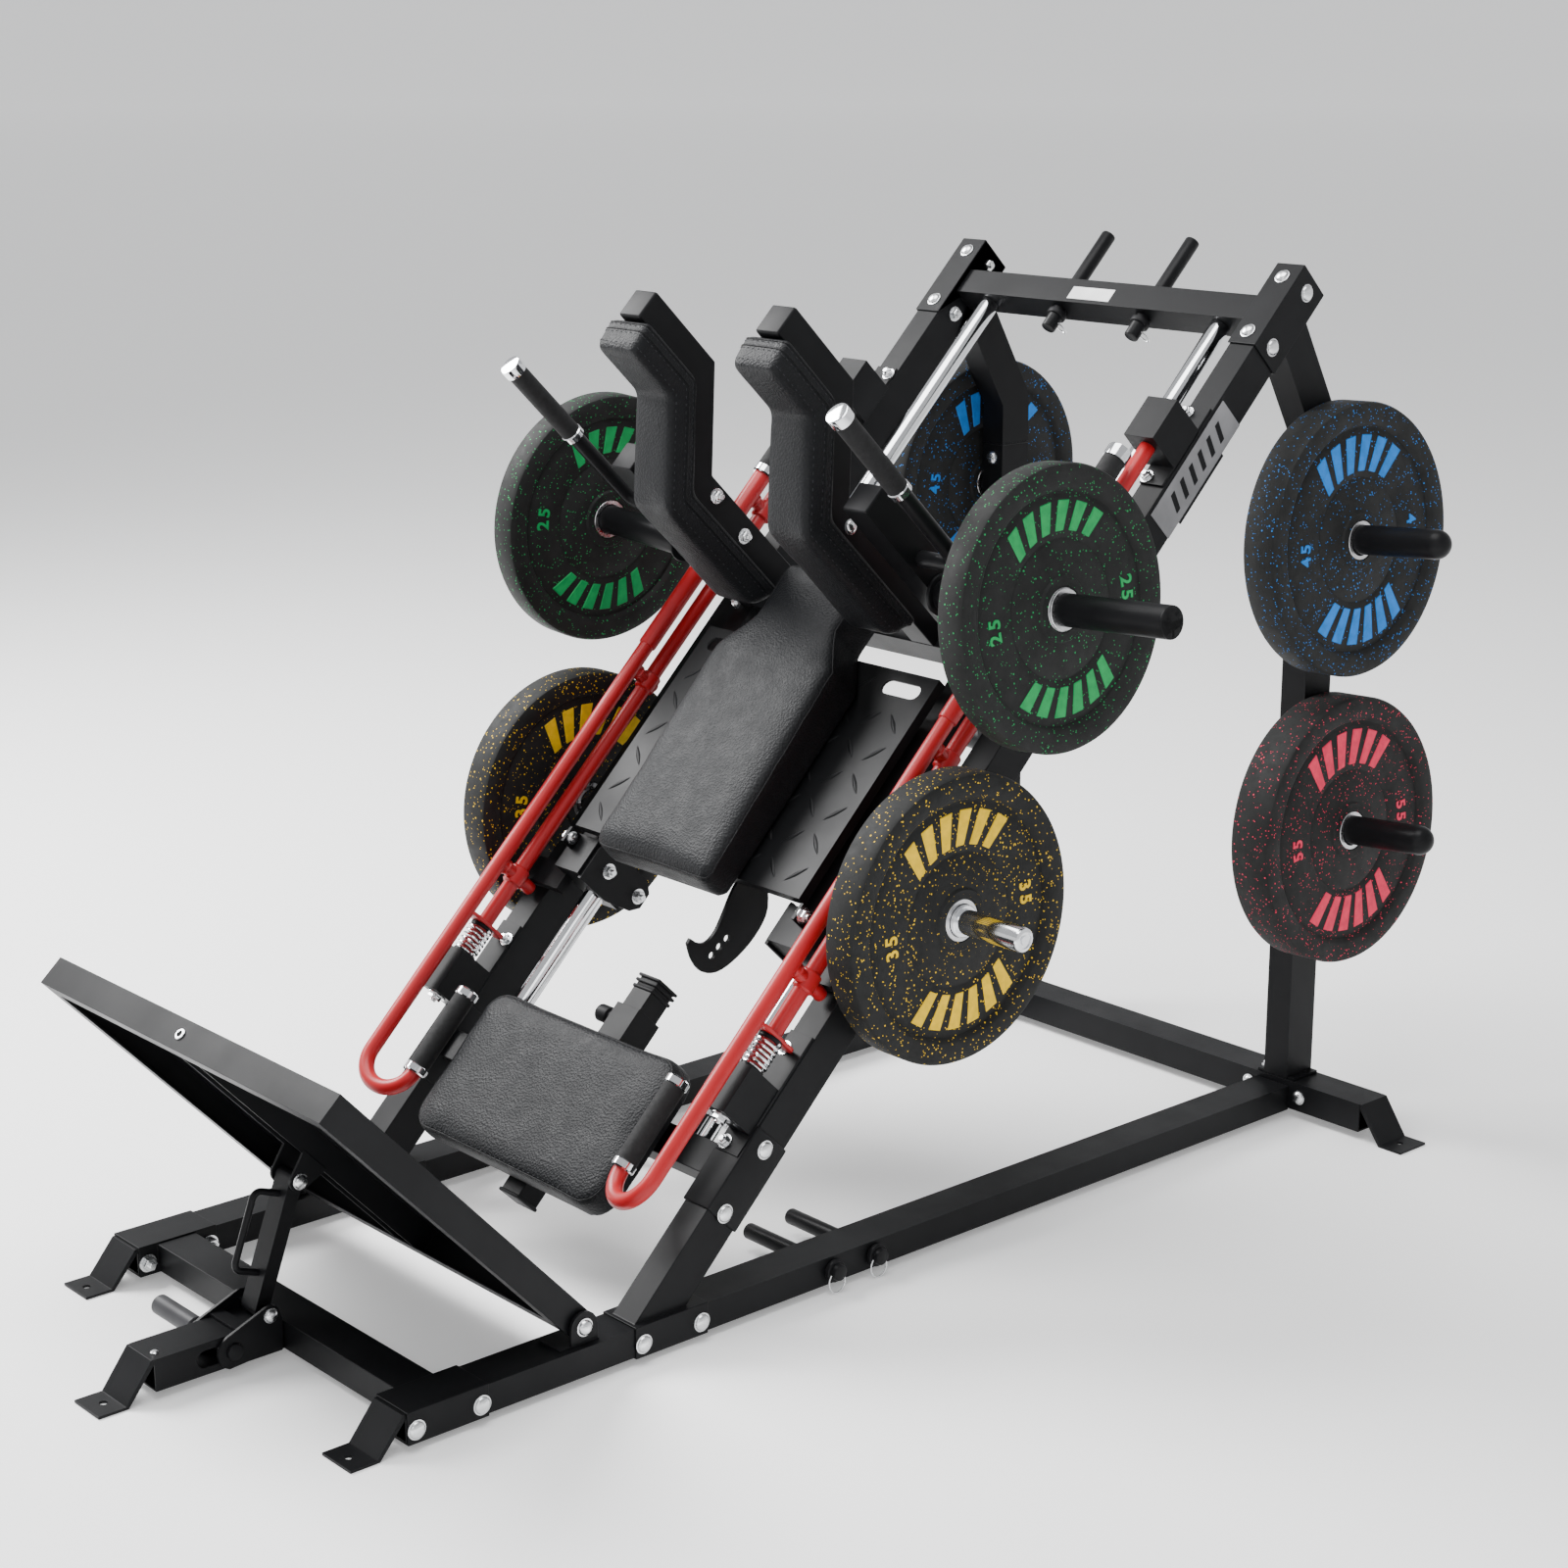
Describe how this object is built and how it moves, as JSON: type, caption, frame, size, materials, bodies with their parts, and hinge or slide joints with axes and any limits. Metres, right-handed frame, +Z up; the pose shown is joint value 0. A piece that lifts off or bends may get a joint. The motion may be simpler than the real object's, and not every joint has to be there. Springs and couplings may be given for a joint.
{
  "type": "leg press machine",
  "caption": "Plate-loaded inclined leg press and hack squat machine with sliding carriage, hinged foot plate, adjustable seat, red safety bars and stored weight plates.",
  "frame": {"origin": "middle of the overall box, on the floor", "axes": "+Z up, +Y from the foot plate end towards the rear uprights, +X to the right of someone who stands at the foot plate end and looks to the rear"},
  "size_m": [1.499, 2.346, 1.4798],
  "materials": {
    "frame_paint": "satin black powder coat",
    "peg_paint": "satin black powder coat on round bar",
    "foot_tray_paint": "satin black powder coat, raised tread pattern on the upper face",
    "tread_steel": "black tread plate",
    "red_paint": "gloss red paint",
    "chrome": "bright chrome",
    "leather": "grained dark grey artificial leather with sewn seams",
    "grip_foam": "matt black foam",
    "knob_plastic": "matt black",
    "plate_green": "black rubber with green flecks and green raised marks",
    "plate_yellow": "black rubber with yellow flecks and yellow raised marks",
    "plate_blue": "black rubber with blue flecks and blue raised marks",
    "plate_pink": "black rubber with red flecks and red raised marks"
  },
  "bodies": {
    "frame": {"front_cross_member": "frame_paint", "centre_tube": "frame_paint", "rear_beam": "frame_paint", "upper_cross_tube": "frame_paint", "lower_cross_tube": "frame_paint", "seat_post": "frame_paint", "rail_left": "frame_paint", "rail_right": "frame_paint", "upright_left": "frame_paint", "upright_right": "frame_paint", "incline_post_left": "frame_paint", "incline_post_right": "frame_paint", "incline_beam_left": "frame_paint", "incline_beam_right": "frame_paint", "top_bracket_left": "frame_paint", "top_bracket_right": "frame_paint", "lower_housing_left": "frame_paint", "lower_housing_right": "frame_paint", "upper_housing_left": "frame_paint", "upper_housing_right": "frame_paint", "rail_band_peg_left_1": "peg_paint", "rail_band_peg_left_2": "peg_paint", "rail_band_peg_right_1": "peg_paint", "rail_band_peg_right_2": "peg_paint", "top_band_peg_left": "peg_paint", "top_band_peg_right": "peg_paint", "guide_rod_left": "chrome", "guide_rod_right": "chrome", "return_spring_left": "chrome", "return_spring_right": "chrome", "storage_horn_left": "chrome", "storage_horn_right": "chrome"},
    "seat": {"seat_pad": "leather", "seat_sleeve": "frame_paint"},
    "seat_pin": {"seat_pull_pin": "knob_plastic"},
    "foot_plate": {"foot_tray": "foot_tray_paint"},
    "strut": {"support_strut": "frame_paint"},
    "slider": {"slider_bracket": "frame_paint", "lock_pin": "peg_paint"},
    "safety_left": {"safety_bar_left": "red_paint", "lower_grip_left": "grip_foam", "upper_grip_left": "grip_foam"},
    "safety_right": {"safety_bar_right": "red_paint", "lower_grip_right": "grip_foam", "upper_grip_right": "grip_foam"},
    "carriage": {"carriage_frame": "frame_paint", "tread_board": "tread_steel", "sector_plate": "frame_paint", "back_pad": "leather", "shoulder_pad_left": "leather", "shoulder_pad_right": "leather", "shoulder_arm_left": "frame_paint", "shoulder_arm_right": "frame_paint"},
    "carriage_plate_left_body": {"carriage_plate_left": "plate_green"},
    "carriage_plate_right_body": {"carriage_plate_right": "plate_green"},
    "stored_plate_left_body": {"stored_plate_left": "plate_yellow"},
    "stored_plate_right_body": {"stored_plate_right": "plate_yellow"},
    "rear_plate_upper_left_body": {"rear_plate_upper_left": "plate_blue"},
    "rear_plate_upper_right_body": {"rear_plate_upper_right": "plate_blue"},
    "rear_plate_lower_right_body": {"rear_plate_lower_right": "plate_pink"}
  },
  "joints": [
    {"name": "carriage_slide", "type": "slide", "parent": "frame", "child": "carriage", "axis": [0, 0.7046, 0.7096], "range_m": [0, 0.65]},
    {"name": "seat_slide", "type": "slide", "parent": "frame", "child": "seat", "axis": [0, 0.7046, 0.7096], "range_m": [-0.045, 0.03]},
    {"name": "seat_pin_pull", "type": "slide", "parent": "seat", "child": "seat_pin", "axis": [-1, 0, 0], "range_m": [0, 0.01], "stiffness_N_per_m": 600, "springref_m": -0.004},
    {"name": "foot_plate_tilt", "type": "hinge", "parent": "frame", "child": "foot_plate", "pos_m": [0, -0.608, 0.0806], "axis": [1, 0, 0], "range_deg": [0, 3.75]},
    {"name": "slider_travel", "type": "slide", "parent": "frame", "child": "slider", "axis": [0, -1, 0], "range_m": [0, 0.043]},
    {"name": "strut_pivot", "type": "hinge", "parent": "foot_plate", "child": "strut", "pos_m": [0, -0.83801, 0.25112], "axis": [1, 0, 0], "range_deg": [-14.6, 0]},
    {"name": "safety_left_turn", "type": "hinge", "parent": "frame", "child": "safety_left", "pos_m": [-0.354, 0.11905, 0.77663], "axis": [0, -0.7046, -0.7096], "range_deg": [0, 45], "stiffness_Nm_per_rad": 4, "springref_deg": -14.32},
    {"name": "safety_right_turn", "type": "hinge", "parent": "frame", "child": "safety_right", "pos_m": [0.354, 0.11905, 0.77663], "axis": [0, 0.7046, 0.7096], "range_deg": [0, 45], "stiffness_Nm_per_rad": 4, "springref_deg": -14.32},
    {"name": "carriage_plate_left_spin", "type": "hinge", "parent": "carriage", "child": "carriage_plate_left_body", "pos_m": [-0.523, 0.14508, 1.01561], "axis": [0.9981, 0, -0.061], "continuous": true},
    {"name": "stored_plate_left_spin", "type": "hinge", "parent": "frame", "child": "stored_plate_left_body", "pos_m": [-0.443, 0.02428, 0.56013], "axis": [1, 0, 0], "continuous": true},
    {"name": "carriage_plate_right_spin", "type": "hinge", "parent": "carriage", "child": "carriage_plate_right_body", "pos_m": [0.523, 0.14508, 1.01561], "axis": [0.9981, 0, 0.061], "continuous": true},
    {"name": "stored_plate_right_spin", "type": "hinge", "parent": "frame", "child": "stored_plate_right_body", "pos_m": [0.443, 0.02428, 0.56013], "axis": [1, 0, 0], "continuous": true},
    {"name": "rear_plate_upper_left_spin", "type": "hinge", "parent": "frame", "child": "rear_plate_upper_left_body", "pos_m": [-0.4232, 0.948, 1.00903], "axis": [0.9991, 0, -0.0419], "continuous": true},
    {"name": "rear_plate_upper_right_spin", "type": "hinge", "parent": "frame", "child": "rear_plate_upper_right_body", "pos_m": [0.4232, 0.948, 1.00903], "axis": [0.9991, 0, 0.0419], "continuous": true},
    {"name": "rear_plate_lower_right_spin", "type": "hinge", "parent": "frame", "child": "rear_plate_lower_right_body", "pos_m": [0.4292, 0.948, 0.5205], "axis": [0.9991, 0, 0.0419], "continuous": true}
  ],
  "couplings": [
    {"joint": "slider_travel", "follows": "foot_plate_tilt", "m_per_rad": 0.655},
    {"joint": "strut_pivot", "follows": "foot_plate_tilt", "ratio": -3.86}
  ]
}
